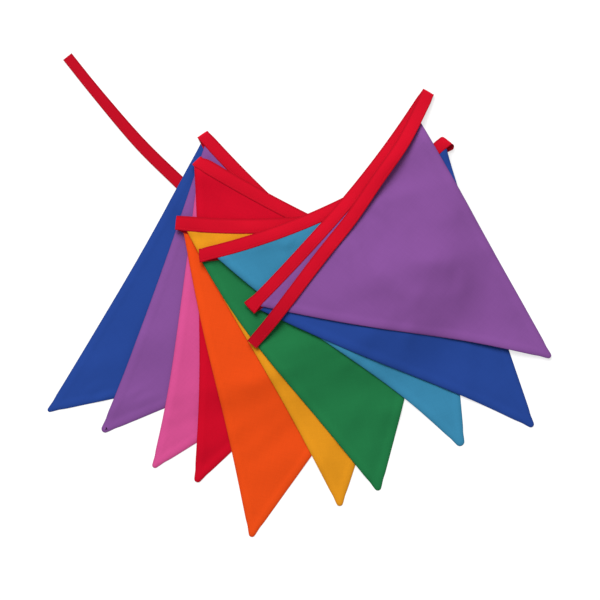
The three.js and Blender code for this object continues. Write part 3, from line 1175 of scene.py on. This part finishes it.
def cotton(name, colour, turn=0.0):
    """Plain woven cotton of one dye, with its threads turned by an angle."""
    cloth = Cloth(name)
    grain = cloth.add("ShaderNodeUVMap", uv_map="grain").outputs["UV"]
    turned = cloth.add("ShaderNodeMapping", {"Vector": grain, "Rotation": (0, 0, turn)}).outputs[0]
    across = cloth.add("ShaderNodeSeparateXYZ", {0: turned}).outputs
    warp = cloth.maths("SINE", cloth.maths("MULTIPLY", across[0], 2 * math.pi / THREAD))
    weft = cloth.maths("SINE", cloth.maths("MULTIPLY", across[1], 2 * math.pi / THREAD))
    weave = cloth.maths("MULTIPLY", warp, weft)
    streaks = []
    for stretch_by in ((STREAK_FINE, STREAK_LONG, 1), (STREAK_LONG, STREAK_FINE, 1)):
        placed = cloth.add("ShaderNodeMapping", {"Vector": turned, "Scale": stretch_by}).outputs[0]
        noise = cloth.add("ShaderNodeTexNoise", {"Vector": placed, "Scale": 1.0, "Detail": 2.0})
        streaks.append(noise.outputs["Fac"])
    slub = cloth.maths("ADD", streaks[0], streaks[1])
    patches = {"Vector": grain, "Scale": DYE_PATCH, "Detail": 3.0}
    dye = cloth.add("ShaderNodeTexNoise", patches).outputs["Fac"]
    tone = cloth.maths("ADD", cloth.maths("MULTIPLY", slub, 0.5), cloth.maths("MULTIPLY", weave, 0.12))
    tone = cloth.maths("ADD", cloth.maths("MULTIPLY", tone, 0.6), cloth.maths("MULTIPLY", dye, 0.4))
    seam = cloth.add("ShaderNodeAttribute", attribute_name="seam").outputs["Fac"]
    tone = cloth.maths("ADD", tone, cloth.maths("MULTIPLY", seam, 0.12))
    dark, light = [shade(colour, amount) for amount in SHADE_RANGE]
    mix = cloth.add("ShaderNodeMix", {0: tone, 6: dark, 7: light}, data_type="RGBA")
    # Painted shade: darker along the edges and towards the tie ends.
    painted_shade = cloth.add("ShaderNodeAttribute", attribute_name="painted_shade").outputs["Fac"]
    shaded = cloth.add("ShaderNodeMix", {0: painted_shade, 6: mix.outputs[2], 7: PAINTED_SHADE_TONE},
                     data_type="RGBA", blend_type="MULTIPLY")
    cloth.links.new(shaded.outputs[2], cloth.shader.inputs["Base Color"])
    relief = cloth.maths("ADD", weave, cloth.maths("MULTIPLY", slub, 2.0))
    bump = cloth.add("ShaderNodeBump", {"Height": relief, "Strength": 0.3, "Distance": WEAVE_RELIEF})
    cloth.links.new(bump.outputs[0], cloth.shader.inputs["Normal"])
    rough = cloth.maths("ADD", cloth.maths("MULTIPLY", slub, 0.1), 0.72)
    cloth.links.new(rough, cloth.shader.inputs["Roughness"])
    cloth.shader.inputs["Specular IOR Level"].default_value = 0.05
    cloth.shader.inputs["Sheen Weight"].default_value = 0.1
    cloth.shader.inputs["Sheen Roughness"].default_value = 0.4
    cloth.shader.inputs["Sheen Tint"].default_value = shade(colour, 1.2)
    return cloth.material


print(f"{10 * MM / THREAD:.0f} repeats of the weave in a centimetre")

# %% [markdown]
# ## Thread
# Polyester sewing thread is smoother than the cloth. Its plies are wound round each other, and
# that shows as slanting stripes along each stitch.

# %% Thread
PLY = 0.0003
PLY_TURN = 0.9
PLY_RELIEF = 0.00004
PLY_RANGE = (0.8, 1.2)


def sewing_thread(name, colour):
    """Polyester thread with its plies wound round each other."""
    cloth = Cloth(name)
    grain = cloth.add("ShaderNodeUVMap", uv_map="grain").outputs["UV"]
    turned = cloth.add("ShaderNodeMapping", {"Vector": grain, "Rotation": (0, 0, PLY_TURN)}).outputs[0]
    across = cloth.add("ShaderNodeSeparateXYZ", {0: turned}).outputs
    ply = cloth.maths("SINE", cloth.maths("MULTIPLY", across[0], 2 * math.pi / PLY))
    tone = cloth.maths("ADD", cloth.maths("MULTIPLY", ply, 0.5), 0.5)
    dark, light = [shade(colour, amount) for amount in PLY_RANGE]
    mix = cloth.add("ShaderNodeMix", {0: tone, 6: dark, 7: light}, data_type="RGBA")
    cloth.links.new(mix.outputs[2], cloth.shader.inputs["Base Color"])
    bump = cloth.add("ShaderNodeBump", {"Height": ply, "Strength": 0.3, "Distance": PLY_RELIEF})
    cloth.links.new(bump.outputs[0], cloth.shader.inputs["Normal"])
    cloth.shader.inputs["Roughness"].default_value = 0.65
    cloth.shader.inputs["Specular IOR Level"].default_value = 0.15
    return cloth.material


print(f"{10 * MM / PLY:.0f} stripes of ply in a centimetre")

# %% [markdown]
# ## Dyes
# Each colour is set by comparing the flags with the real ones under this light. Flags of the
# same cotton share one material. The binding is a cotton of its own, cut on the diagonal.

# %% Dyes
BIAS = math.radians(45)
BINDING_RED = (0.510, 0.003, 0.016)
DYES = {
    "cotton_royal_blue": (0.016, 0.051, 0.247),
    "cotton_purple": (0.197, 0.068, 0.260),
    "cotton_pink": (0.563, 0.070, 0.237),
    "cotton_red": (0.506, 0.002, 0.016),
    "cotton_orange": (0.694, 0.062, 0.006),
    "cotton_yellow": (0.643, 0.249, 0.010),
    "cotton_green": (0.013, 0.155, 0.049),
    "cotton_sky_blue": (0.036, 0.204, 0.350),
}
SLOTS = {
    "01_blue": "cotton_royal_blue",
    "02_purple": "cotton_purple",
    "03_pink": "cotton_pink",
    "04_red": "cotton_red",
    "05_orange": "cotton_orange",
    "06_yellow": "cotton_yellow",
    "07_green": "cotton_green",
    "08_sky": "cotton_sky_blue",
    "09_blue": "cotton_royal_blue",
    "10_purple": "cotton_purple",
}
COTTONS = {slot: cotton(slot, colour) for slot, colour in DYES.items()}
BINDING_COTTON = cotton("binding_red", BINDING_RED, BIAS)
RED_THREAD = sewing_thread("red_thread", BINDING_RED)
print(len(COTTONS) + 2, "materials")

# %% [markdown]
# ## Hand over the pieces
# Every piece rides on the part's one body and takes its material, and the part's own node that it
# stands for is hidden.

binding.data.materials.append(BINDING_COTTON)
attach(binding, BODY)
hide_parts("binding_tape")
stitching.data.materials.append(RED_THREAD)
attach(stitching, BODY)
for layer, piece in FLAG_PIECES.items():
    name = FLAGS[layer - 1]["name"]
    piece.data.materials.append(COTTONS[SLOTS[name]])
    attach(piece, BODY)
    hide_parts("flag_" + name)
